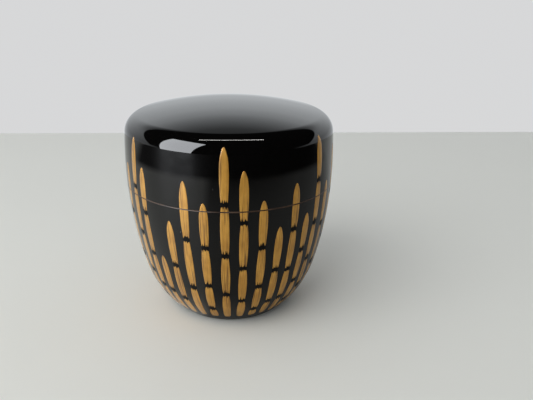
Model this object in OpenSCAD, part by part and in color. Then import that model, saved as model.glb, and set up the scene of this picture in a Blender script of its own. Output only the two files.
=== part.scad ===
// Lacquered tea caddy. A turned body carries an inner lip, and a domed lid seats over the lip.
// Raised gold horsetail stems climb the outside and run on across the joint of body and lid.
// Millimetres, +Z up. The origin is the centre of the foot, on the surface the caddy stands on.

/* [Overall size] */
// Widest diameter of the closed caddy
caddy_d = 66; // [50:0.5:90]
// Height of the body, from the foot to its joint with the lid
body_h = 43.2; // [34:0.2:60]
// Height of the lid, from the joint to the crown
lid_h = 24.8; // [20:0.2:34]

/* [Outer curve] */
// Height of the widest point above the joint
widest_above_joint = 6.8; // [4:0.1:9]
// Radius of the lid's dome
dome_r = 115; // [90:1:180]
// Radius of the lid's shoulder
shoulder_r = 5.6; // [4.6:0.1:7]
// Radius of the hip, where the wall turns in towards the foot
hip_r = 34; // [28:0.5:41]
// How far the flat of the foot is drawn in from the widest radius
foot_draw_in = 16; // [13:0.5:20]
// Radius of the foot's rounded edge
foot_edge_r = 3; // [2:0.1:4]
// Slope at which the hip meets the foot's edge, in degrees
foot_slope = 46.4; // [42:0.2:52]
// Width of the flat ring that the caddy stands on
foot_ring_w = 3; // [1.5:0.1:5]
// Depth of the shallow hollow inside that ring
foot_hollow = 0.6; // [0.3:0.05:1.2]

/* [Walls and fit] */
// Thickness of the lid's wall, lacquer included
lid_wall = 3; // [2.4:0.1:3.8]
// Distance from the body's outside to its inside, lacquer included
body_wall = 5.4; // [5:0.1:6.5]
// Thickness of the body's floor above the foot, lacquer included
floor_t = 4.5; // [3:0.1:6]
// Radius of the corner between the inner wall and the floor
bowl_corner_r = 10; // [6:0.5:12]
// Height of the body's lip above the joint
lip_h = 8; // [5:0.1:10]
// Radius that rounds both edges of the lip's top
lip_edge_r = 0.6; // [0.55:0.05:0.9]
// Radial gap between the lip and the lid's bore
lip_gap = 0.15; // [0.1:0.01:0.3]

/* [Lacquer] */
// Thickness of the polished lacquer
lacquer_t = 0.2; // [0.1:0.02:0.24]
// Thickness of the clay ground under the lacquer
ground_t = 0.3; // [0.15:0.02:0.3]

/* [Gold stems] */
// How far the gold stands proud of the lacquer
gold_t = 0.08; // [0.05:0.01:0.15]
// Number of stems around the caddy
stem_count = 38; // [20:1:44]
// Width of a stem at the widest diameter
stem_w = 2.9; // [1.5:0.1:3.4]
// Length of the longest section between two joints of a stem
section_len = 15; // [8:0.5:20]
// Height over which the sections grow from short to long
section_fade = 15; // [8:0.5:25]
// Gap at each joint of a stem
section_gap = 0.9; // [0.4:0.1:1.5]
// Height of the stems' lower ends above the foot
stem_foot_z = 3.2; // [2.5:0.1:6]

/* [Quality] */
// Steps in a full turn
$fn = 240; // [120:24:480]
// Most that a chord of the outline may stand inside its arc
curve_sag = 0.01; // [0.005:0.001:0.03]

/* [Hidden] */

// Each stem of the repeat: how far its tip is below the shoulder's centre, how many degrees it
// stands off its even place, and how much its sections are stretched.
STEMS = [
    [-2, 1.5, 1], [6, 0, 0.95], [33, -1, 1.1], [20, -1.5, 1.1], [7, -1.5, 1.25],
    [13, -1, 1], [-3, 0, 1.1], [3.5, 0, 1.05], [12.5, 0.5, 1.05], [21.5, 0.5, 1.1],
    [9, 0, 1], [19.5, -0.5, 0.9], [-3, -1.5, 0.9], [12, -1, 1], [2, 0.5, 1.05],
    [26, 0, 0.95], [15, 0.5, 1.1], [30, 0, 1], [7, 1, 1.05]
];
// Azimuth of the first stem, from +X; 270 is the front
first_stem = 210.2;
// A last section shorter than this is joined to the one above it
shortest_section = 2.5;
// Margin by which cutting shapes run past what they cut
over = 1;

widest_r = caddy_d / 2;
widest_z = body_h + widest_above_joint;
caddy_h = body_h + lid_h;
coats_t = lacquer_t + ground_t;

// Finished radii of the fit between lid and lip
bore_r = widest_r - lid_wall;
lip_r = bore_r - lip_gap;
lip_top = body_h + lip_h;

// Centres of the outer curve's arcs. Each arc is tangent to the next.
foot_r = widest_r - foot_draw_in;
foot_edge_c = [foot_r, foot_edge_r];
hip_c = foot_edge_c + (hip_r - foot_edge_r) * [-cos(foot_slope), sin(foot_slope)];
hip_reach = [widest_r, widest_z] - hip_c;
wall_r = (hip_reach * hip_reach - hip_r * hip_r) / (2 * (hip_reach[0] - hip_r));
wall_c = [widest_r - wall_r, widest_z];
dome_c = [0, caddy_h - dome_r];
shoulder_c = crossing(dome_c, dome_r - shoulder_r, wall_c, wall_r - shoulder_r);

// Angles at which the arcs meet
dome_end = direction(dome_c, shoulder_c);
wall_start = direction(wall_c, shoulder_c);
wall_end = direction(wall_c, hip_c);

// Height at which the foot's lacquer takes over from the body's
foot_split_z = foot_edge_r * (1 - sin(foot_slope));

// Right-hand crossing of two circles
function crossing(c1, r1, c2, r2) =
    let (
        gap = norm(c2 - c1),
        along = (r1 * r1 - r2 * r2 + gap * gap) / (2 * gap),
        aside = sqrt(r1 * r1 - along * along),
        step = (c2 - c1) / gap
    )
    c1 + along * step + aside * [abs(step[1]), -step[0] * sign(step[1])];

function direction(from, to) = atan2(to[1] - from[1], to[0] - from[0]);

// An arc is [centre, radius, first angle, last angle]. It runs clockwise, or with a negative radius
// it is a hollow curve. Arcs that are tangent stay so when every radius grows by the same amount.
function on_arc(arc, angle, grow = 0) = arc[0] + (arc[1] + grow) * [cos(angle), sin(angle)];

// Points along an arc after its first one, close enough that each chord keeps within curve_sag
function arc_points(arc, grow) =
    let (
        sweep = arc[3] - arc[2],
        steps = ceil(abs(sweep) / (2 * acos(1 - curve_sag / abs(arc[1]))))
    )
    [for (i = [1 : steps]) on_arc(arc, arc[2] + sweep * i / steps, grow)];

// The arcs of a chain that reach between two heights
function arcs_between(arcs, z_low, z_high) = [
    for (arc = arcs)
        if (on_arc(arc, arc[3])[1] < z_high + over && on_arc(arc, arc[2])[1] > z_low - over) arc
];

// Outside of the closed caddy
OUTSIDE = [
    [dome_c, dome_r, 90, dome_end],
    [shoulder_c, shoulder_r, dome_end, wall_start],
    [wall_c, wall_r, wall_start, wall_end],
    [hip_c, hip_r, wall_end, -foot_slope],
    [foot_edge_c, foot_edge_r, -foot_slope, -90]
];

// Inside of the lid down to the widest point, where its straight bore begins
LID_INSIDE = [
    [dome_c, dome_r - lid_wall, 90, dome_end],
    [shoulder_c, shoulder_r - lid_wall, dome_end, wall_start],
    [wall_c, wall_r - lid_wall, wall_start, 0]
];

// Outer edge of the lip's top
LIP_OUTSIDE = [[[lip_r - lip_edge_r, lip_top - lip_edge_r], lip_edge_r, 90, 0]];

// Inside of the body, from the inner edge of the lip's top down to the floor
bowl_r = widest_r - body_wall;
bowl_wall_r = wall_r - body_wall;
bowl_hip_r = hip_r - body_wall;
bowl_wall_start = min(0, asin((lip_top - lip_edge_r - widest_z) / bowl_wall_r));
corner_drop = hip_c[1] - floor_t - bowl_corner_r;
corner_reach = bowl_hip_r - bowl_corner_r;
corner_c = hip_c + [sqrt(corner_reach * corner_reach - corner_drop * corner_drop), -corner_drop];
corner_start = direction(hip_c, corner_c);
BODY_INSIDE = [
    [[bowl_r + lip_edge_r, lip_top - lip_edge_r], -lip_edge_r, -90, 0],
    [wall_c, bowl_wall_r, bowl_wall_start, wall_end],
    [hip_c, bowl_hip_r, wall_end, corner_start],
    [corner_c, bowl_corner_r, corner_start, -90]
];

// Shallow hollow of the underside
hollow_r = foot_r - foot_ring_w;
hollow_sphere_r = (hollow_r * hollow_r + foot_hollow * foot_hollow) / (2 * foot_hollow);
hollow_c = [0, foot_hollow - hollow_sphere_r];
UNDERSIDE = [[hollow_c, hollow_sphere_r, 90, asin((-over - hollow_c[1]) / hollow_sphere_r)]];

// Half section from the axis out to a chain of arcs, with every radius grown by grow. It ends level
// with the last arc, or runs straight on down to the height straight_to.
module half_section(arcs, grow = 0, straight_to = undef) {
    first = on_arc(arcs[0], arcs[0][2], grow);
    curve = [for (arc = arcs) each arc_points(arc, grow)];
    bottom = curve[len(curve) - 1];
    tail = is_undef(straight_to)
        ? [[0, bottom[1]]]
        : [[bottom[0], straight_to], [0, straight_to]];
    axis_top = first[0] > 0 ? [[0, first[1]]] : [];
    points = concat([first], curve, tail, axis_top);
    polygon([for (i = [len(points) - 1 : -1 : 0]) points[i]]);
}

// Strip from the axis out to a radius, between two heights
module band(z_low, z_high, r = widest_r + over) {
    translate([0, z_low]) square([r, z_high - z_low]);
}

// The whole body's half section, moved inwards by inset on every face
module body_section(inset) {
    difference() {
        union() {
            intersection() {
                half_section(OUTSIDE, -inset);
                band(inset, body_h - inset);
            }
            half_section(LIP_OUTSIDE, -inset, body_h - inset - over);
        }
        half_section(BODY_INSIDE, inset);
        half_section(UNDERSIDE, inset);
    }
}

// The whole lid's half section, moved inwards by inset on every face
module lid_section(inset) {
    difference() {
        intersection() {
            half_section(OUTSIDE, -inset);
            band(body_h + inset, caddy_h + over);
        }
        half_section(LID_INSIDE, inset, body_h - over);
    }
}

// Skin of lacquer over the body
module body_skin() {
    difference() {
        body_section(0);
        body_section(lacquer_t);
    }
}

// Skin of lacquer over the lid
module lid_skin() {
    difference() {
        lid_section(0);
        lid_section(lacquer_t);
    }
}

// Sections of one stem from its tip down, each as [low height, high height]
function sections(z, stretch) =
    let (
        grown = 1 - exp((stem_foot_z - z) / section_fade),
        low = z - section_len * stretch * grown,
        next = low - section_gap
    )
    next - stem_foot_z < shortest_section
        ? [[stem_foot_z, z]]
        : concat([[low, z]], sections(next, stretch));

// Part of every stem between two heights
module gold_stems(z_low, z_high) {
    turn = stem_w / widest_r * 180 / PI;
    for (i = [0 : stem_count - 1]) {
        stem = STEMS[i % len(STEMS)];
        azimuth = first_stem + i * 360 / stem_count + stem[1];
        for (part = sections(shoulder_c[1] - stem[0], stem[2])) {
            low = max(part[0], z_low);
            high = min(part[1], z_high);
            if (high - low > gold_t)
                rotate_extrude(angle = turn, start = azimuth - turn / 2)
                intersection() {
                    difference() {
                        half_section(arcs_between(OUTSIDE, low, high), gold_t);
                        half_section(arcs_between(OUTSIDE, low, high));
                    }
                    band(low, high);
                }
        }
    }
}

module body_core() {
    color("burlywood")
    rotate_extrude()
    body_section(coats_t);
}

module body_ground_coat() {
    color("rosybrown")
    rotate_extrude()
    difference() {
        body_section(lacquer_t);
        body_section(coats_t);
    }
}

module body_outer_lacquer() {
    color([0.05, 0.05, 0.05])
    rotate_extrude()
    difference() {
        intersection() {
            body_skin();
            band(foot_split_z, body_h - lacquer_t);
        }
        band(foot_split_z, body_h, foot_r);
        half_section(BODY_INSIDE, lacquer_t);
        band(body_h - lacquer_t - over, lip_top, lip_r);
    }
}

module body_inner_lacquer() {
    color([0.1, 0.1, 0.1])
    rotate_extrude()
    intersection() {
        body_skin();
        union() {
            half_section(BODY_INSIDE, lacquer_t);
            band(body_h - lacquer_t, lip_top, lip_r);
        }
    }
}

module body_foot_lacquer() {
    color([0.08, 0.08, 0.08])
    rotate_extrude()
    intersection() {
        body_skin();
        union() {
            band(0, foot_split_z);
            band(0, (floor_t + foot_hollow) / 2, foot_r);
        }
    }
}

module body_rim_line() {
    color("saddlebrown")
    rotate_extrude()
    difference() {
        intersection() {
            body_section(0);
            band(body_h - lacquer_t, body_h);
        }
        band(0, lip_top, lip_r);
    }
}

module body_gold_stems() {
    color("goldenrod")
    gold_stems(0, body_h - lacquer_t);
}

module lid_core() {
    color("burlywood")
    rotate_extrude()
    lid_section(coats_t);
}

module lid_ground_coat() {
    color("rosybrown")
    rotate_extrude()
    difference() {
        lid_section(lacquer_t);
        lid_section(coats_t);
    }
}

module lid_outer_lacquer() {
    color([0.05, 0.05, 0.05])
    rotate_extrude()
    difference() {
        lid_skin();
        half_section(LID_INSIDE, lacquer_t, body_h);
        band(0, body_h + lacquer_t);
    }
}

module lid_inner_lacquer() {
    color([0.1, 0.1, 0.1])
    rotate_extrude()
    difference() {
        intersection() {
            lid_skin();
            half_section(LID_INSIDE, lacquer_t, body_h);
        }
        band(0, body_h + lacquer_t);
    }
}

module lid_rim_line() {
    color("saddlebrown")
    rotate_extrude()
    intersection() {
        lid_section(0);
        band(body_h, body_h + lacquer_t);
    }
}

module lid_gold_stems() {
    color("goldenrod")
    gold_stems(body_h + lacquer_t, caddy_h);
}

body_core();
body_ground_coat();
body_outer_lacquer();
body_inner_lacquer();
body_foot_lacquer();
body_rim_line();
body_gold_stems();
lid_core();
lid_ground_coat();
lid_outer_lacquer();
lid_inner_lacquer();
lid_rim_line();
lid_gold_stems();
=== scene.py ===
"""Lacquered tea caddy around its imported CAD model: black mirror lacquer with raised gold stems.

Lengths are in metres. The axis of the caddy is Z, and its front is towards -Y.
"""

import math
import random

import bmesh
import bpy
import numpy as np
from mathutils import Matrix, Vector


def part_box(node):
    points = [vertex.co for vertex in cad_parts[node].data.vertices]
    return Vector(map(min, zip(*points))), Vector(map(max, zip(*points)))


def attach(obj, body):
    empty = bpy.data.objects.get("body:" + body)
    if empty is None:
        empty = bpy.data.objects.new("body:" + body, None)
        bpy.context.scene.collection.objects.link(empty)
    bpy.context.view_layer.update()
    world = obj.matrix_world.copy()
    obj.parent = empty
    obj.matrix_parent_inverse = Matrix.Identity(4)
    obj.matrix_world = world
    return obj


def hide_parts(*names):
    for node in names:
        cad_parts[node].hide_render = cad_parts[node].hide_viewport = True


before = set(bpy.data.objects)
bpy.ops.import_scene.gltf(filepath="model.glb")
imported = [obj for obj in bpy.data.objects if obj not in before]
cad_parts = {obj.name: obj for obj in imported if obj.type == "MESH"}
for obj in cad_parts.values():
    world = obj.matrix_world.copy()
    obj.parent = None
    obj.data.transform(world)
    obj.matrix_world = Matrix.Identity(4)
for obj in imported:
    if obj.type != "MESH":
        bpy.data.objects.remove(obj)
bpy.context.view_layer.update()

MM = 0.001

# Sizes measured on the CAD nodes
CROWN_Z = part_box("lid_outer_lacquer")[1].z
WIDEST_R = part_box("lid_outer_lacquer")[1].x
JOINT_Z, LID_SPLIT_Z = [corner.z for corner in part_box("lid_rim_line")]
BODY_SPLIT_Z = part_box("body_rim_line")[0].z
FOOT_SPLIT_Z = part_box("body_outer_lacquer")[0].z
LIP_TOP_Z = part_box("body_inner_lacquer")[1].z
COAT_T = LID_SPLIT_Z - JOINT_Z

# Radii and drops that a box doesn't give
WIDEST_Z = JOINT_Z + 6.8 * MM
DOME_R = 115 * MM
SHOULDER_R = 5.6 * MM
HIP_R = 34 * MM
FOOT_R = WIDEST_R - 16 * MM
FOOT_EDGE_R = 3 * MM
FOOT_SLOPE = math.radians(46.4)
FOOT_RING_W = 3 * MM
FOOT_HOLLOW = 0.6 * MM
BORE_R = WIDEST_R - 3 * MM
LIP_R = BORE_R - 0.15 * MM
BOWL_R = WIDEST_R - 5.4 * MM
LIP_EDGE_R = 0.6 * MM
FLOOR_T = 4.5 * MM
BOWL_CORNER_R = 10 * MM
JOINT_EDGE_R = 0.12 * MM

# How finely the turned surfaces are cut
TURN_STEPS = 256
ARC_STEP = math.radians(1.5)
ARC_SPACING = 1.0 * MM

# Gold stems and the black strokes at their joints
GOLD_T = 0.08 * MM
STEM_W = 2.65 * MM
STEM_COLUMNS = 13
STEM_ROWS = 19
END_SHARE = 0.66
TIP_SHARE = 0.32
TIP_DROP = 0.4 * MM
NARROWING = 0.25
SUNK = 0.03 * MM
STROKE_COLUMNS = 21
STROKE_ROWS = 5
STROKE_T = 0.079 * MM
# Sections that end at this height or lower get no frayed foot
FOOT_CLEAR_Z = 4 * MM
# Ends of the gold sections: frayed, rounded, and thinning over a length
GOLD_TOP_FRAY, GOLD_FOOT_FRAY = 0.25 * MM, 0.8 * MM
GOLD_TOP_ROUND, GOLD_FOOT_ROUND = 0.35 * MM, 0.2 * MM
GOLD_END_FADE = 1.6 * MM
# Black strokes: how far they fray up and down, how they narrow, and their swell at the joint
STROKE_UP, STROKE_DOWN = 2.1 * MM, 1.2 * MM
STROKE_PINCH = 0.3
STROKE_WIDTH, STROKE_SWELL, STROKE_SWELL_H = 0.72, 0.2, 0.5 * MM
SPIKE_COUNTS = [2, 3]
# Sections further apart than this belong to different stems
STEM_APART = math.radians(3)
# A clipped patch lower than this is left out, and a kept column is at least this high
LEAST_PATCH = 0.15 * MM
LEAST_COLUMN = 0.02 * MM

# What the world shows: to the camera, to diffuse light (left, right) and in reflections
SEEN = 0.69
AMBIENT = (0.74, 0.24)
ROOM_DARK = 0.01
WALL_TOP_SLOPE = 1.07
WALL_TOP_BLUR = 0.04
WALL_SIDE_EDGE = (-0.35, 0.1)
WALL_LIGHT = (
    (0.05, 0.85), (0.15, 1.05), (0.37, 1.35), (0.47, 1.25), (0.56, 0.8), (0.64, 0.35), (0.72, 0.22)
)

# Lights: place, target, size and watts
KEY_PLACE, KEY_SIZE, KEY_WATTS = (-0.42, -0.4, 0.46), (0.7, 0.7), 3.1
WINDOW_AZIMUTH, WINDOW_ELEVATION, WINDOW_AWAY = -58, 22, 1.2
WINDOW_SIZE, WINDOW_WATTS = (0.85, 1.38), 48.0
STRIP_PLACE, STRIP_TARGET = (0.035, -0.24, 1.5), (0.035, -0.24, 0)
STRIP_SIZE, STRIP_WATTS = (1.19, 0.02), 6.0

# Floor, and the camera with its slants in radians
FLOOR_LEFT, FLOOR_RIGHT, FLOOR_FRONT, FLOOR_BACK = -0.75, 0.75, -0.6, 0.227
FLOOR_STEPS = 8
CAMERA_PLACE = (0, -0.186725, 0.104657)
CAMERA_LENS, CAMERA_SENSOR, CAMERA_NEAR = 40.53, 36.0, 0.005
CAMERA_YAW, CAMERA_PITCH, CAMERA_ROLL = 0.064, 0.359, 0.013


# ---------------------------------------------------------------- outlines

def direction(start, end):
    return math.atan2(end[1] - start[1], end[0] - start[0])


def crossing(c1, r1, c2, r2):
    """Right-hand crossing of two circles."""
    c1, c2 = np.array(c1), np.array(c2)
    gap = np.linalg.norm(c2 - c1)
    along = (r1 * r1 - r2 * r2 + gap * gap) / (2 * gap)
    aside = math.sqrt(r1 * r1 - along * along)
    step = (c2 - c1) / gap
    return c1 + along * step + aside * np.array([abs(step[1]), -step[0] * np.sign(step[1])])


def on_arc(arc, angle, grow=0.0):
    """Point of an arc (centre, radius, first angle, last angle) whose radius is grown."""
    centre, radius, _, _ = arc
    return np.array(centre) + (radius + grow) * np.array([math.cos(angle), math.sin(angle)])


def chain(arcs, grow=0.0):
    """Points (radius, height) along a chain of arcs, with their outward normals."""
    points, normals = [], []
    for arc in arcs:
        _, radius, first, last = arc
        sweep = last - first
        steps = max(abs(sweep) / ARC_STEP, abs(sweep * radius) / ARC_SPACING)
        count = max(2, math.ceil(steps))
        for i in range(1 if points else 0, count + 1):
            angle = first + sweep * i / count
            points.append(on_arc(arc, angle, grow))
            normals.append((math.cos(angle), math.sin(angle)))
    return np.array(points), np.array(normals)


def between(points, low, high):
    """The part of a falling outline between two heights, cut exactly at both."""
    heights = points[:, 1]
    inside = points[(heights < high - 1e-9) & (heights > low + 1e-9)]
    ends = []
    for z in (high, low):
        if heights[-1] - 1e-9 < z < heights[0] + 1e-9:
            r = np.interp(-z, -heights, points[:, 0])
            ends.append(np.array([[r, z]]))
        else:
            ends.append(np.empty((0, 2)))
    return np.vstack([ends[0], inside, ends[1]])


FOOT_EDGE_C = np.array([FOOT_R, FOOT_EDGE_R])
HIP_C = FOOT_EDGE_C + (HIP_R - FOOT_EDGE_R) * np.array(
    [-math.cos(FOOT_SLOPE), math.sin(FOOT_SLOPE)]
)
HIP_REACH = np.array([WIDEST_R, WIDEST_Z]) - HIP_C
WALL_R = (HIP_REACH @ HIP_REACH - HIP_R * HIP_R) / (2 * (HIP_REACH[0] - HIP_R))
WALL_C = np.array([WIDEST_R - WALL_R, WIDEST_Z])
DOME_C = np.array([0.0, CROWN_Z - DOME_R])
SHOULDER_C = crossing(DOME_C, DOME_R - SHOULDER_R, WALL_C, WALL_R - SHOULDER_R)
UP = math.pi / 2
DOME_END = direction(DOME_C, SHOULDER_C)
WALL_START = direction(WALL_C, SHOULDER_C)
WALL_END = direction(WALL_C, HIP_C)

OUTSIDE = [
    (DOME_C, DOME_R, UP, DOME_END),
    (SHOULDER_C, SHOULDER_R, DOME_END, WALL_START),
    (WALL_C, WALL_R, WALL_START, WALL_END),
    (HIP_C, HIP_R, WALL_END, -FOOT_SLOPE),
    (FOOT_EDGE_C, FOOT_EDGE_R, -FOOT_SLOPE, -UP),
]
LID_WALL = WIDEST_R - BORE_R
LID_INSIDE = [
    (DOME_C, DOME_R - LID_WALL, UP, DOME_END),
    (SHOULDER_C, SHOULDER_R - LID_WALL, DOME_END, WALL_START),
    (WALL_C, WALL_R - LID_WALL, WALL_START, 0.0),
]
LIP_OUTSIDE = [((LIP_R - LIP_EDGE_R, LIP_TOP_Z - LIP_EDGE_R), LIP_EDGE_R, 0.0, UP)]

BODY_WALL = WIDEST_R - BOWL_R
CORNER_REACH = HIP_R - BODY_WALL - BOWL_CORNER_R
CORNER_DROP = HIP_C[1] - FLOOR_T - BOWL_CORNER_R
CORNER_C = HIP_C + np.array([math.sqrt(CORNER_REACH**2 - CORNER_DROP**2), -CORNER_DROP])
CORNER_START = direction(HIP_C, CORNER_C)
BODY_INSIDE = [
    ((BOWL_R + LIP_EDGE_R, LIP_TOP_Z - LIP_EDGE_R), -LIP_EDGE_R, -UP, 0.0),
    (WALL_C, WALL_R - BODY_WALL, 0.0, WALL_END),
    (HIP_C, HIP_R - BODY_WALL, WALL_END, CORNER_START),
    (CORNER_C, BOWL_CORNER_R, CORNER_START, -UP),
]

HOLLOW_R = FOOT_R - FOOT_RING_W
HOLLOW_SPHERE_R = (HOLLOW_R**2 + FOOT_HOLLOW**2) / (2 * FOOT_HOLLOW)
HOLLOW_C = (0.0, FOOT_HOLLOW - HOLLOW_SPHERE_R)
UNDERSIDE = [(HOLLOW_C, HOLLOW_SPHERE_R, math.acos(HOLLOW_R / HOLLOW_SPHERE_R), UP)]

OUTLINE, OUTLINE_NORMALS = chain(OUTSIDE)


def surface_at(z):
    """Radius and outward normal (radial, vertical) of the outside at a height."""
    heights = OUTLINE[:, 1]
    radius = np.interp(-z, -heights, OUTLINE[:, 0])
    normal = [np.interp(-z, -heights, OUTLINE_NORMALS[:, k]) for k in (0, 1)]
    return radius, np.array(normal) / np.hypot(*normal)


# ---------------------------------------------------------------- meshes

def piece(name, verts, faces, body, slot, material, replaced=()):
    """A smooth closed mesh that rides a body and stands for CAD nodes."""
    mesh = bpy.data.meshes.new(name)
    mesh.from_pydata([tuple(v) for v in verts], [], faces)
    shape = bmesh.new()
    shape.from_mesh(mesh)
    bmesh.ops.recalc_face_normals(shape, faces=shape.faces)
    shape.to_mesh(mesh)
    shape.free()
    mesh.materials.append(material)
    mesh.shade_smooth()
    mesh.set_sharp_from_angle(angle=math.radians(30))
    obj = bpy.data.objects.new(name, mesh)
    bpy.context.scene.collection.objects.link(obj)
    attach(obj, body)
    if replaced:
        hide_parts(*replaced)
    return obj


def lathe(name, loop, **what):
    """A shell turned about Z from a closed loop of (radius, height) points."""
    verts, rings, faces = [], [], []
    turns = [2 * math.pi * k / TURN_STEPS for k in range(TURN_STEPS)]
    for r, z in loop:
        start = len(verts)
        if r < 1e-8:
            verts.append((0.0, 0.0, z))
            rings.append([start] * TURN_STEPS)
        else:
            verts.extend((r * math.cos(a), r * math.sin(a), z) for a in turns)
            rings.append(list(range(start, start + TURN_STEPS)))
    for i, ring in enumerate(rings):
        after = rings[(i + 1) % len(rings)]
        for k in range(TURN_STEPS):
            m = (k + 1) % TURN_STEPS
            corners = list(dict.fromkeys([ring[k], ring[m], after[m], after[k]]))
            if len(corners) > 2:
                faces.append(corners)
    return piece(name, verts, faces, **what)


def skin_between(outer, inner):
    """Closed loop down one outline and back up another."""
    return np.vstack([outer, inner[::-1]])


def corner(r, z, radius, first, last, steps=6):
    """Points that round a corner, about the centre (r, z)."""
    angles = np.linspace(math.radians(first), math.radians(last), steps)
    return np.array([[r + radius * math.cos(a), z + radius * math.sin(a)] for a in angles])


def lid_outer_loop():
    outer = between(OUTLINE, LID_SPLIT_Z, 1)
    inner = between(chain(OUTSIDE, -COAT_T)[0], LID_SPLIT_Z, 1)
    return skin_between(outer, inner)


def lid_inner_loop():
    bore_foot = np.array([[BORE_R, LID_SPLIT_Z]])
    near = np.vstack([chain(LID_INSIDE)[0], bore_foot])
    far = np.vstack([chain(LID_INSIDE, COAT_T)[0], bore_foot + [COAT_T, 0]])
    return skin_between(near, far)


def lid_rim_loop():
    edge = surface_at(JOINT_Z)[0]
    rounded = corner(edge - JOINT_EDGE_R, JOINT_Z + JOINT_EDGE_R, JOINT_EDGE_R, -90, 0)
    return np.vstack([
        [[BORE_R, JOINT_Z]], rounded, [[surface_at(LID_SPLIT_Z)[0], LID_SPLIT_Z]],
        [[BORE_R, LID_SPLIT_Z]],
    ])


def body_rim_loop():
    edge = surface_at(JOINT_Z)[0]
    rounded = corner(edge - JOINT_EDGE_R, JOINT_Z - JOINT_EDGE_R, JOINT_EDGE_R, 0, 90)
    return np.vstack([
        [[LIP_R, BODY_SPLIT_Z]], [[surface_at(BODY_SPLIT_Z)[0], BODY_SPLIT_Z]], rounded,
        [[LIP_R, JOINT_Z]],
    ])


def body_outer_loop():
    outer = between(OUTLINE, FOOT_SPLIT_Z, BODY_SPLIT_Z)
    inner = between(chain(OUTSIDE, -COAT_T)[0], FOOT_SPLIT_Z, BODY_SPLIT_Z)
    return skin_between(outer, inner)


def body_inner_loop():
    lip_foot = np.array([[LIP_R, BODY_SPLIT_Z]])
    near = np.vstack([lip_foot, chain(LIP_OUTSIDE)[0], chain(BODY_INSIDE)[0], [[0, FLOOR_T]]])
    far = np.vstack([
        lip_foot - [COAT_T, 0], chain(LIP_OUTSIDE, -COAT_T)[0], chain(BODY_INSIDE, COAT_T)[0],
        [[0, FLOOR_T - COAT_T]],
    ])
    return skin_between(near, far)


def foot_loop():
    outer = between(OUTLINE, 0, FOOT_SPLIT_Z)
    inner = between(chain(OUTSIDE, -COAT_T)[0], COAT_T, FOOT_SPLIT_Z)
    under = chain(UNDERSIDE)[0]
    over = chain(UNDERSIDE, COAT_T)[0]
    return skin_between(np.vstack([outer, under]), np.vstack([inner, over]))


# ---------------------------------------------------------------- gold stems

def gold_sections():
    """Every gold section as the CAD nodes have it: stems of (azimuth, low, high), tip first."""
    found = []
    for name in ("body_gold_stems", "lid_gold_stems"):
        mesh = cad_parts[name].data
        places = np.zeros(len(mesh.vertices) * 3)
        mesh.vertices.foreach_get("co", places)
        places = places.reshape(-1, 3)
        ends = np.zeros(len(mesh.edges) * 2, int)
        mesh.edges.foreach_get("vertices", ends)
        _, same = np.unique(np.round(places / (0.1 * COAT_T) * 100), axis=0, return_inverse=True)
        first, second = same.reshape(-1)[ends.reshape(-1, 2)].T
        label = np.arange(same.max() + 1)
        while True:
            lowest = np.minimum(label[first], label[second])
            spread = label.copy()
            np.minimum.at(spread, first, lowest)
            np.minimum.at(spread, second, lowest)
            if (spread == label).all():
                break
            label = spread
        label = label[same.reshape(-1)]
        for island in np.unique(label):
            points = places[label == island]
            x, y, _ = (points.min(0) + points.max(0)) / 2
            found.append((math.atan2(y, x), points[:, 2].min(), points[:, 2].max()))
    return stems_of(sorted(found))


def stems_of(found):
    """Groups sections into stems, and joins the two parts of one that crosses the lid's joint."""
    stems = []
    for azimuth, low, high in found:
        if not stems or azimuth - stems[-1][-1][0] > STEM_APART:
            stems.append([])
        stems[-1].append((azimuth, low, high))
    joined = []
    for stem in stems:
        sections = []
        for azimuth, low, high in sorted(stem, key=lambda s: -s[2]):
            if sections and sections[-1][1] - high < (LID_SPLIT_Z - BODY_SPLIT_Z) * 1.1:
                azimuth, _, high = sections.pop()
            sections.append((azimuth, low, high))
        joined.append(sections)
    return joined


def width_share(down, is_tip):
    """Width of a section as a share of its widest, at a share of the way down it."""
    share = END_SHARE + (1 - END_SHARE) * math.sin(math.pi * min(max(down, 0), 1)) ** 0.6
    if is_tip and down < TIP_SHARE:
        share *= math.sqrt(max(0.0, 1 - (1 - down / TIP_SHARE) ** 2)) * 0.97 + 0.03
    return share


def spikes(rng, count, tallest, columns):
    """Heights of a frayed edge across a stem: a few sharp spikes, and nearly nothing between."""
    across = np.linspace(-1, 1, columns)
    edge = np.full(columns, 0.04 * MM)
    for k in range(count):
        centre = -0.85 + 1.7 * (k + rng.uniform(0.2, 0.8)) / count
        height = tallest * rng.uniform(0.45, 1.0)
        half = rng.uniform(0.2, 0.36)
        edge = np.maximum(edge, height * np.clip(1 - np.abs(across - centre) / half, 0, 1))
    return edge


def sheet(tops, bottoms, azimuth, half_width_at, height_at, rows):
    """Closed raised patch on the outside, and its (across, down) in metres at each corner."""
    columns = len(tops)
    verts, flat = [], []
    for level in (0, 1):
        for i in range(rows):
            down = (1 - math.cos(math.pi * i / (rows - 1))) / 2
            for j in range(columns):
                z = tops[j] + (bottoms[j] - tops[j]) * down
                across = -1 + 2 * j / (columns - 1)
                aside = across * half_width_at(z)
                radius, normal = surface_at(z)
                lift = -SUNK if level else height_at(across, down, z)
                turn = azimuth + aside / radius
                r = radius + lift * normal[0]
                verts.append((r * math.cos(turn), r * math.sin(turn), z + lift * normal[1]))
                flat.append((aside, z))
    faces = []
    under = rows * columns
    for i in range(rows - 1):
        for j in range(columns - 1):
            a = i * columns + j
            quad = [a, a + 1, a + columns + 1, a + columns]
            faces.append(quad)
            faces.append([v + under for v in reversed(quad)])
    rim = list(range(columns))
    rim += [i * columns + columns - 1 for i in range(1, rows)]
    rim += [(rows - 1) * columns + j for j in range(columns - 2, -1, -1)]
    rim += [i * columns for i in range(rows - 2, 0, -1)]
    for a, b in zip(rim, rim[1:] + rim[:1]):
        faces.append([a, a + under, b + under, b])
    return verts, faces, flat


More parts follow.
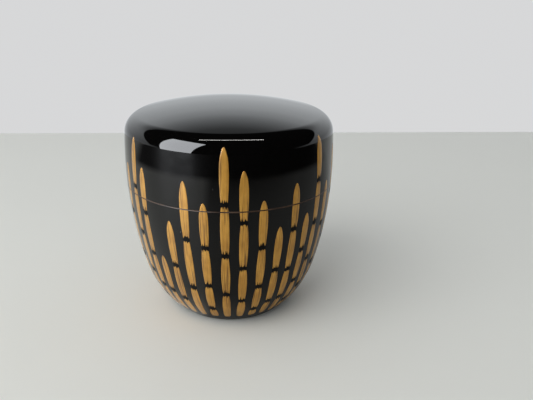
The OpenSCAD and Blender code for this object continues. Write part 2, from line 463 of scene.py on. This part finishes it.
def widest_at(z):
    """Half width of a stem at a height: stems narrow towards the foot with the body."""
    return STEM_W / 2 * (surface_at(z)[0] / WIDEST_R) ** NARROWING


class Patches:
    """Raised patches gathered into one mesh, with their flat places kept as a UV map."""

    def __init__(self):
        self.verts, self.faces, self.flat = [], [], []

    def add(self, verts, faces, flat, shift):
        start = len(self.verts)
        self.verts += verts
        self.faces += [[v + start for v in f] for f in faces]
        self.flat += [((u + shift[0]) / MM, (v + shift[1]) / MM) for u, v in flat]

    def build(self, name, **what):
        obj = piece(name, self.verts, self.faces, **what)
        layer = obj.data.uv_layers.new(name="stem_mm")
        corners = np.zeros(len(obj.data.loops), int)
        obj.data.loops.foreach_get("vertex_index", corners)
        layer.uv.foreach_set("vector", np.array(self.flat)[corners].astype(np.float32).ravel())
        return obj


def clipped(tops, bottoms, low, high):
    """Column ends kept between two heights, or None where hardly anything is left."""
    tops, bottoms = np.minimum(tops, high), np.maximum(bottoms, low)
    if (tops - bottoms).max() < LEAST_PATCH:
        return None
    middle = (tops + bottoms) / 2
    thin = tops - bottoms < LEAST_COLUMN
    tops = np.where(thin, np.clip(middle, low, high - LEAST_COLUMN) + LEAST_COLUMN, tops)
    bottoms = np.where(thin, tops - LEAST_COLUMN, bottoms)
    return tops, bottoms


def gold_patch(section, is_tip, rng):
    """Ends of a gold section's columns, with its width and height."""
    azimuth, low, high = section
    length = high - low

    def half_width(z):
        drop = TIP_DROP if is_tip else 0
        return widest_at(z) * width_share((high - drop - z) / (length - drop), is_tip)

    def height(across, down, z):
        from_end = max(0.0, min(high - z, z - low)) / GOLD_END_FADE
        pillow = (1 - across**4) ** 0.5 if abs(across) < 1 else 0.0
        return GOLD_T * 0.9 * pillow * (0.35 + 0.65 * min(1.0, from_end))

    across = np.linspace(-1, 1, STEM_COLUMNS)
    if is_tip:
        tops = np.full(STEM_COLUMNS, high - TIP_DROP)
    else:
        fray = spikes(rng, 2, GOLD_TOP_FRAY, STEM_COLUMNS)
        tops = high - GOLD_TOP_ROUND * across**4 - fray
    bottoms = low + GOLD_FOOT_ROUND * across**4
    if low > FOOT_CLEAR_Z:
        fray = spikes(rng, rng.choice(SPIKE_COUNTS), GOLD_FOOT_FRAY, STEM_COLUMNS)
        bottoms = bottoms + fray
    return tops, bottoms, half_width, height


def stroke_patch(upper, lower, rng):
    """Black strokes that fill the joint between two sections and fray over their ends."""
    top, bottom = upper[1], lower[2]
    size = widest_at(top) / widest_at(WIDEST_Z)
    up = spikes(rng, rng.choice(SPIKE_COUNTS), STROKE_UP * size, STROKE_COLUMNS)
    down = spikes(rng, rng.choice(SPIKE_COUNTS), STROKE_DOWN * size, STROKE_COLUMNS)
    across = np.linspace(-1, 1, STROKE_COLUMNS)
    pinch = STROKE_PINCH * (top - bottom) * across**2
    tops = top - pinch + up
    bottoms = bottom + pinch - down
    middle = (top + bottom) / 2

    def half_width(z):
        swell = STROKE_SWELL * math.exp(-(((z - middle) / STROKE_SWELL_H) ** 2))
        return widest_at(z) * (STROKE_WIDTH + swell)

    def height(across, down, z):
        return STROKE_T * (1 - 0.9 * abs(across) ** 3)

    return tops, bottoms, half_width, height


def decorate(stems, gold_material, stroke_material):
    """Gold sections and black joint strokes, on the body and on the lid."""
    ranges = {
        "body": (0.0, BODY_SPLIT_Z, "caddy_body"),
        "lid": (LID_SPLIT_Z, CROWN_Z, "lid"),
    }
    gold = {part: Patches() for part in ranges}
    strokes = {part: Patches() for part in ranges}
    for n, stem in enumerate(stems):
        rng = random.Random(100 + n)
        for k, section in enumerate(stem):
            shift = (rng.uniform(0, 1), rng.uniform(0, 1))
            made = [(gold, gold_patch(section, k == 0, rng), STEM_ROWS)]
            if k + 1 < len(stem):
                patch = stroke_patch(section, stem[k + 1], rng)
                made.append((strokes, patch, STROKE_ROWS))
            for group, (tops, bottoms, half_width, height), rows in made:
                for part, (low, high, _) in ranges.items():
                    ends = clipped(tops, bottoms, low, high)
                    if ends is None:
                        continue
                    patch = sheet(*ends, section[0], half_width, height, rows)
                    group[part].add(*patch, shift)
    for part, (_, _, body) in ranges.items():
        gold[part].build(
            f"gold_stems_on_{part}", body=body, slot="gold_powder", material=gold_material,
            replaced=[f"{part}_gold_stems"],
        )
        strokes[part].build(
            f"joint_strokes_on_{part}", body=body, slot="black_lacquer",
            material=stroke_material,
        )


# ---------------------------------------------------------------- materials

class Nodes:
    """Short ways to add nodes to a node tree."""

    def __init__(self, tree):
        self.tree = tree

    def node(self, kind, inputs=None, **settings):
        new = self.tree.nodes.new(kind)
        for key, value in settings.items():
            setattr(new, key, value)
        for key, value in (inputs or {}).items():
            if isinstance(value, bpy.types.NodeSocket):
                self.tree.links.new(value, new.inputs[key])
            else:
                new.inputs[key].default_value = value
        return new

    def remap(self, value, low, high, to_low=0.0, to_high=1.0):
        inputs = {
            "Value": value, "From Min": low, "From Max": high,
            "To Min": to_low, "To Max": to_high,
        }
        return self.node("ShaderNodeMapRange", inputs).outputs["Result"]

    def math(self, operation, a, b=0.0):
        return self.node("ShaderNodeMath", {0: a, 1: b}, operation=operation).outputs[0]


class Finish(Nodes):
    """A material and short ways to add nodes to it."""

    def __init__(self, name, **shader):
        self.material = bpy.data.materials.new(name)
        self.material.use_nodes = True
        super().__init__(self.material.node_tree)
        self.shader = self.tree.nodes["Principled BSDF"]
        for key, value in shader.items():
            self.shader.inputs[key.replace("_", " ")].default_value = value

    def place(self, stretch=(1, 1, 1)):
        """Place on the piece in its own metres, stretched."""
        where = self.node("ShaderNodeTexCoord").outputs["Object"]
        return self.node("ShaderNodeMapping", {"Vector": where, "Scale": stretch}).outputs[0]

    def along_stem(self, stretch):
        """Place on a stem in millimetres, (across, up), stretched."""
        where = self.node("ShaderNodeUVMap", uv_map="stem_mm").outputs[0]
        return self.node("ShaderNodeMapping", {"Vector": where, "Scale": stretch}).outputs[0]

    def noise(self, where, scale, detail=3.0, rough=0.55):
        inputs = {"Vector": where, "Scale": scale, "Detail": detail, "Roughness": rough}
        return self.node("ShaderNodeTexNoise", inputs).outputs["Fac"]

    def blend(self, factor, a, b):
        """Colour a where factor is 0, b where it is 1."""
        inputs = {0: factor}
        for key, value in ((6, a), (7, b)):
            inputs[key] = value if isinstance(value, bpy.types.NodeSocket) else (*value, 1)
        return self.node("ShaderNodeMix", inputs, data_type="RGBA").outputs[2]

    def bump(self, height, distance, strength=1.0, under=None):
        inputs = {"Height": height, "Distance": distance, "Strength": strength}
        if under is not None:
            inputs["Normal"] = under
        return self.node("ShaderNodeBump", inputs).outputs[0]

    def set(self, **sockets):
        for key, value in sockets.items():
            self.tree.links.new(value, self.shader.inputs[key.replace("_", " ")])
        return self.material

    def radius(self):
        """Distance from the turning axis."""
        where = self.node("ShaderNodeTexCoord").outputs["Object"]
        split = self.node("ShaderNodeSeparateXYZ", {0: where}).outputs
        squares = self.math("ADD", self.math("POWER", split[0], 2.0),
                            self.math("POWER", split[1], 2.0))
        return self.math("SQRT", squares)


def black_lacquer():
    """Mirror polish: nearly flat black, with faint waviness, hazy patches and sparse dust."""
    f = Finish("black_mirror_lacquer", IOR=1.4)
    where = f.place()
    dust_cells = f.node("ShaderNodeTexVoronoi", {"Vector": where, "Scale": 420.0})
    is_speck = f.math("LESS_THAN", dust_cells.outputs["Distance"], 0.045)
    chosen = f.node("ShaderNodeSeparateColor", {0: dust_cells.outputs["Color"]}).outputs[0]
    dust = f.math("MULTIPLY", is_speck, f.math("GREATER_THAN", chosen, 0.93))
    depth = f.blend(f.noise(where, 160.0), (0.0012, 0.0011, 0.0011), (0.0022, 0.002, 0.0019))
    colour = f.blend(dust, depth, (0.16, 0.155, 0.15))
    haze = f.remap(f.noise(where, 90.0, 4.0), 0.35, 0.7, 0.018, 0.05)
    rough = f.math("ADD", haze, f.math("MULTIPLY", dust, 0.5))
    waves = f.bump(f.noise(where, 110.0, 1.0), 0.00002, 0.6)
    return f.set(Base_Color=colour, Roughness=rough, Normal=waves)


def stroke_black():
    """The painted strokes at the joints: deeper and duller than the polished lacquer."""
    f = Finish("black_joint_strokes", IOR=1.35, Specular_IOR_Level=0.25)
    where = f.along_stem((3.0, 0.8, 1.0))
    brush = f.noise(where, 1.0, 3.0)
    colour = f.blend(brush, (0.001, 0.0009, 0.0008), (0.0035, 0.003, 0.0026))
    rough = f.remap(brush, 0.3, 0.7, 0.32, 0.5)
    return f.set(Base_Color=colour, Roughness=rough, Normal=f.bump(brush, 0.00002, 0.5))


def gold_powder():
    """Burnished gold powder with fine brush lines along each stem, under clear lacquer."""
    f = Finish(
        "gold_powder_under_clear", Metallic=0.3, Coat_Weight=0.8, Coat_Roughness=0.03,
        Coat_IOR=1.4,
    )
    lines = f.noise(f.along_stem((2.1, 0.05, 1.0)), 1.0, 2.0, 0.6)
    fine = f.noise(f.along_stem((6.5, 0.16, 1.0)), 1.0, 2.0, 0.5)
    grains = f.noise(f.along_stem((1.0, 1.0, 1.0)), 9.0, 2.0, 0.6)
    patches = f.noise(f.along_stem((0.35, 0.2, 1.0)), 1.0, 2.0, 0.5)
    tone = f.blend(f.remap(patches, 0.35, 0.65), (0.50, 0.235, 0.024), (0.64, 0.325, 0.045))
    tone = f.blend(f.remap(grains, 0.55, 0.8, 0.0, 0.35), tone, (0.85, 0.52, 0.13))
    dark_lines = f.math("MAXIMUM", f.remap(lines, 0.54, 0.64, 0.0, 0.85),
                        f.remap(fine, 0.56, 0.7, 0.0, 0.6))
    colour = f.blend(dark_lines, tone, (0.17, 0.07, 0.009))
    rough = f.remap(grains, 0.3, 0.7, 0.36, 0.52)
    relief = f.bump(f.math("ADD", lines, f.math("MULTIPLY", fine, 0.5)), 0.00004, 0.7)
    return f.set(Base_Color=colour, Roughness=rough, Normal=relief)


def brown_lacquer():
    """Brown lacquer on the edges at the joint, uneven and worn lighter in places."""
    f = Finish("brown_edge_lacquer", IOR=1.5)
    where = f.place()
    wear = f.noise(where, 260.0, 4.0)
    colour = f.blend(f.remap(wear, 0.4, 0.65), (0.032, 0.014, 0.008), (0.09, 0.046, 0.024))
    rough = f.remap(wear, 0.3, 0.7, 0.28, 0.5)
    return f.set(Base_Color=colour, Roughness=rough, Normal=f.bump(wear, 0.00003, 0.5))


def turned_lacquer(name, low, high, rough_low, rough_high, line_scale=9000.0):
    """Brushed lacquer over a turned surface: rings of fine turning marks under a gloss."""
    f = Finish(name, IOR=1.5)
    where = f.place()
    drift = f.noise(where, 45.0, 3.0)
    rings = f.math("SINE", f.math("ADD", f.math("MULTIPLY", f.radius(), line_scale),
                                  f.math("MULTIPLY", drift, 8.0)))
    colour = f.blend(f.remap(drift, 0.3, 0.7), low, high)
    rough = f.remap(f.noise(where, 240.0, 4.0), 0.3, 0.7, rough_low, rough_high)
    relief = f.bump(rings, 0.000004, 0.5)
    relief = f.bump(f.noise(where, 120.0, 2.0), 0.00003, 0.5, relief)
    return f, colour, rough, relief


def inner_lacquer():
    f, colour, rough, relief = turned_lacquer(
        "inner_lacquer", (0.009, 0.006, 0.005), (0.02, 0.013, 0.01), 0.1, 0.2
    )
    return f.set(Base_Color=colour, Roughness=rough, Normal=relief)


def foot_lacquer():
    """As inside, with the standing ring rubbed dull and scratched."""
    f, colour, rough, relief = turned_lacquer(
        "foot_lacquer", (0.007, 0.006, 0.006), (0.014, 0.012, 0.011), 0.08, 0.16
    )
    middle = HOLLOW_R + FOOT_RING_W / 2
    off_middle = f.math("ABSOLUTE", f.math("SUBTRACT", f.radius(), middle))
    on_ring = f.remap(off_middle, FOOT_RING_W * 0.3, FOOT_RING_W * 0.62, 1.0, 0.0)
    height = f.node("ShaderNodeSeparateXYZ", {0: f.place()}).outputs[2]
    on_ring = f.math("MULTIPLY", on_ring, f.remap(height, 0.05 * MM, 0.3 * MM, 1.0, 0.0))
    scratches = f.noise(f.place((1.0, 0.15, 1.0)), 1400.0, 5.0, 0.7)
    worn = f.math("MULTIPLY", on_ring, f.remap(scratches, 0.42, 0.62, 0.25, 1.0))
    colour = f.blend(worn, colour, (0.075, 0.068, 0.062))
    rough = f.math("ADD", rough, f.math("MULTIPLY", worn, 0.35))
    return f.set(Base_Color=colour, Roughness=rough, Normal=relief)


def turned_wood():
    """The turned wood core, with grain lines that run across it."""
    f = Finish("turned_wood_core")
    grain = f.noise(f.place((1.0, 0.06, 1.0)), 900.0, 6.0, 0.6)
    bands = f.noise(f.place((1.0, 0.12, 1.0)), 160.0, 3.0)
    colour = f.blend(f.remap(bands, 0.35, 0.65), (0.52, 0.35, 0.2), (0.7, 0.52, 0.33))
    colour = f.blend(f.remap(grain, 0.55, 0.75, 0.0, 0.6), colour, (0.33, 0.2, 0.1))
    rough = f.remap(grain, 0.3, 0.7, 0.55, 0.72)
    return f.set(Base_Color=colour, Roughness=rough, Normal=f.bump(grain, 0.00005, 0.5))


def clay_ground():
    """Clay and lacquer ground coat: matte, fine grained and slightly mottled."""
    f = Finish("clay_ground_coat")
    grit = f.noise(f.place(), 2600.0, 4.0)
    cloud = f.noise(f.place(), 140.0, 3.0)
    colour = f.blend(f.remap(cloud, 0.35, 0.65), (0.2, 0.15, 0.115), (0.3, 0.235, 0.18))
    rough = f.remap(grit, 0.3, 0.7, 0.78, 0.92)
    return f.set(Base_Color=colour, Roughness=rough, Normal=f.bump(grit, 0.00003, 0.6))


def pale_floor():
    """Pale surface, plain to the camera. Painted reflection: for reflected rays the floor in front
    is painted near black, so the lacquer mirrors it darker towards the front, like a dark room
    that isn't there.
    """
    f = Finish("pale_floor", Specular_IOR_Level=0.2)
    cloud = f.noise(f.place(), 12.0, 3.0)
    colour = f.blend(cloud, (0.775, 0.785, 0.745), (0.815, 0.825, 0.785))
    # Painted reflection: how much of the floor stays pale in reflections, more on the left and
    # near the caddy
    x, y, _ = f.node("ShaderNodeSeparateXYZ", {0: f.place()}).outputs
    ahead = f.math("MULTIPLY", y, -1.0)
    side = f.math("DIVIDE", x, f.math("MAXIMUM", ahead, 0.02))
    left = f.remap(side, -0.5, -0.28, 1.0, 0.0)
    near = f.remap(ahead, 0.07, 0.2, 0.5, 0.14)
    within = f.remap(f.radius(), 0.2, 0.23, 1.0, 0.0)
    share = f.math("MULTIPLY", f.math("MAXIMUM", left, near), within)
    # Painted reflection: only reflected rays see the floor in front painted near black; the camera
    # sees it pale
    in_front = f.remap(ahead, -0.12, -0.05, 0.0, 1.0)
    mirrored = f.node("ShaderNodeLightPath").outputs["Is Glossy Ray"]
    painted_dark_reflection = f.math("MULTIPLY", f.math("MULTIPLY", in_front, mirrored),
                    f.math("SUBTRACT", 1.0, share))
    # Painted reflection: the floor's colour in reflections, painted near black (0.002) where the
    # mask is set
    colour = f.blend(painted_dark_reflection, colour, (0.002, 0.002, 0.002))
    return f.set(Base_Color=colour, Roughness=f.remap(cloud, 0.3, 0.7, 0.5, 0.6))


# ---------------------------------------------------------------- stage

def make_floor():
    mesh = bpy.data.meshes.new("floor")
    xs = np.linspace(FLOOR_LEFT, FLOOR_RIGHT, FLOOR_STEPS + 1)
    ys = np.linspace(FLOOR_FRONT, FLOOR_BACK, FLOOR_STEPS + 1)
    verts = [(x, y, 0.0) for y in ys for x in xs]
    faces = []
    row = FLOOR_STEPS + 1
    for i in range(FLOOR_STEPS):
        for j in range(FLOOR_STEPS):
            a = i * row + j
            faces.append([a, a + 1, a + row + 1, a + row])
    mesh.from_pydata(verts, [], faces)
    mesh.materials.append(pale_floor())
    obj = bpy.data.objects.new("floor", mesh)
    bpy.context.scene.collection.objects.link(obj)


def make_world():
    """Pale surroundings. The lacquer mirrors a pale wall behind and a dark room in front."""
    world = bpy.data.worlds.new("studio")
    bpy.context.scene.world = world
    world.use_nodes = True
    world.node_tree.nodes.clear()
    nodes = Nodes(world.node_tree)
    node, remap, calc = nodes.node, nodes.remap, nodes.math

    where = node("ShaderNodeTexCoord").outputs["Generated"]
    x, y, z = node("ShaderNodeSeparateXYZ", {0: where}).outputs
    back = remap(y, WALL_SIDE_EDGE[0], WALL_SIDE_EDGE[1], 0.0, 1.0)
    slope = calc("DIVIDE", z, calc("MAXIMUM", y, 0.02))
    lit = remap(slope, WALL_TOP_SLOPE - WALL_TOP_BLUR, WALL_TOP_SLOPE + WALL_TOP_BLUR, 1.0, 0.0)
    fade = node("ShaderNodeValToRGB", {0: z})
    stops = fade.color_ramp.elements
    for height, light in WALL_LIGHT:
        stop = stops[0] if height == WALL_LIGHT[0][0] else stops.new(height)
        stop.position = height
        stop.color = (light, light, light, 1)
    stops.remove(stops[-1])
    wall = calc("MULTIPLY", calc("MULTIPLY", back, lit), fade.outputs[0])
    room = calc("MAXIMUM", wall, ROOM_DARK)
    path = node("ShaderNodeLightPath").outputs
    glossy = node("ShaderNodeBackground", {"Color": (0.93, 0.97, 1.0, 1), "Strength": room})
    soft = calc("MULTIPLY", remap(x, -1.0, 1.0, *AMBIENT), remap(z, -0.1, 0.8, 0.3, 1.25))
    ambient = node("ShaderNodeBackground", {"Color": (0.97, 0.985, 1.0, 1), "Strength": soft})
    seen = node("ShaderNodeBackground", {"Color": (0.985, 0.99, 1.0, 1), "Strength": SEEN})
    mixed = node("ShaderNodeMixShader", {0: path["Is Glossy Ray"], 1: ambient.outputs[0],
                                         2: glossy.outputs[0]})
    mixed = node("ShaderNodeMixShader", {0: path["Is Camera Ray"], 1: mixed.outputs[0],
                                         2: seen.outputs[0]})
    node("ShaderNodeOutputWorld", {"Surface": mixed.outputs[0]})


def area_light(name, place, target, size, watts, colour, diffuse=True, glossy=True):
    """Rectangular light that faces a target and isn't seen by the camera."""
    light = bpy.data.lights.new(name, "AREA")
    light.shape = "RECTANGLE"
    light.size, light.size_y = size
    light.energy = watts
    light.color = colour
    obj = bpy.data.objects.new(name, light)
    obj.location = place
    aim = Vector(target) - Vector(place)
    obj.rotation_euler = aim.to_track_quat("-Z", "Y").to_euler()
    obj.visible_diffuse = diffuse
    obj.visible_glossy = glossy
    obj.visible_camera = False
    bpy.context.scene.collection.objects.link(obj)


def from_front(azimuth, elevation, distance):
    """Place at a direction from the caddy: azimuth is from the front, positive to the right."""
    a, e = math.radians(azimuth), math.radians(elevation)
    flat = distance * math.cos(e)
    middle = CROWN_Z / 2
    return (flat * math.sin(a), -flat * math.cos(a), middle + distance * math.sin(e))


def make_lights():
    middle = (0, 0, CROWN_Z / 2)
    area_light("soft_key", KEY_PLACE, middle, KEY_SIZE, KEY_WATTS,
               (1.0, 0.99, 0.97), glossy=False)
    window_place = from_front(WINDOW_AZIMUTH, WINDOW_ELEVATION, WINDOW_AWAY)
    area_light("window", window_place, middle, WINDOW_SIZE, WINDOW_WATTS,
               (0.93, 0.96, 1.0), diffuse=False)
    area_light("ceiling_strip", STRIP_PLACE, STRIP_TARGET, STRIP_SIZE, STRIP_WATTS,
               (1.0, 0.98, 0.95), diffuse=False)


def make_camera():
    """Eye height, distance and slants of the photograph's camera."""
    camera = bpy.data.cameras.new("camera")
    camera.sensor_width = CAMERA_SENSOR
    camera.lens = CAMERA_LENS
    camera.clip_start = CAMERA_NEAR
    yaw, pitch, roll = CAMERA_YAW, CAMERA_PITCH, CAMERA_ROLL
    ahead = Vector((math.sin(yaw) * math.cos(pitch), math.cos(yaw) * math.cos(pitch),
                    -math.sin(pitch)))
    level = Vector((math.cos(yaw), -math.sin(yaw), 0))
    upright = level.cross(ahead)
    right = level * math.cos(roll) + upright * math.sin(roll)
    up = upright * math.cos(roll) - level * math.sin(roll)
    obj = bpy.data.objects.new("camera", camera)
    turn = Matrix((right, up, -ahead)).transposed().to_4x4()
    obj.matrix_world = Matrix.Translation(CAMERA_PLACE) @ turn
    bpy.context.scene.collection.objects.link(obj)
    bpy.context.scene.camera = obj


# ---------------------------------------------------------------- building

def build_caddy():
    black, inner, brown = black_lacquer(), inner_lacquer(), brown_lacquer()
    turned = [
        ("lid_outer", lid_outer_loop, "lid", "black_lacquer", black, "lid_outer_lacquer"),
        ("lid_inner", lid_inner_loop, "lid", "inner_lacquer", inner, "lid_inner_lacquer"),
        ("lid_rim", lid_rim_loop, "lid_rim", "brown_lacquer", brown, "lid_rim_line"),
        ("body_rim", body_rim_loop, "caddy_body", "brown_lacquer", brown, "body_rim_line"),
        ("body_outer", body_outer_loop, "caddy_body", "black_lacquer", black,
         "body_outer_lacquer"),
        ("body_inner", body_inner_loop, "caddy_body", "inner_lacquer", inner,
         "body_inner_lacquer"),
        ("foot", foot_loop, "caddy_body", "foot_lacquer", foot_lacquer(),
         "body_foot_lacquer"),
    ]
    for name, loop, body, slot, material, replaced in turned:
        lathe(name, loop(), body=body, slot=slot, material=material, replaced=[replaced])
    decorate(gold_sections(), gold_powder(), stroke_black())
    hidden_layers = {
        "body_core": turned_wood(), "lid_core": turned_wood(),
        "body_ground_coat": clay_ground(), "lid_ground_coat": clay_ground(),
    }
    for name, material in hidden_layers.items():
        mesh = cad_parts[name].data
        mesh.materials.clear()
        mesh.materials.append(material)


bpy.context.scene.view_settings.view_transform = "Standard"
build_caddy()
make_floor()
make_world()
make_lights()
make_camera()
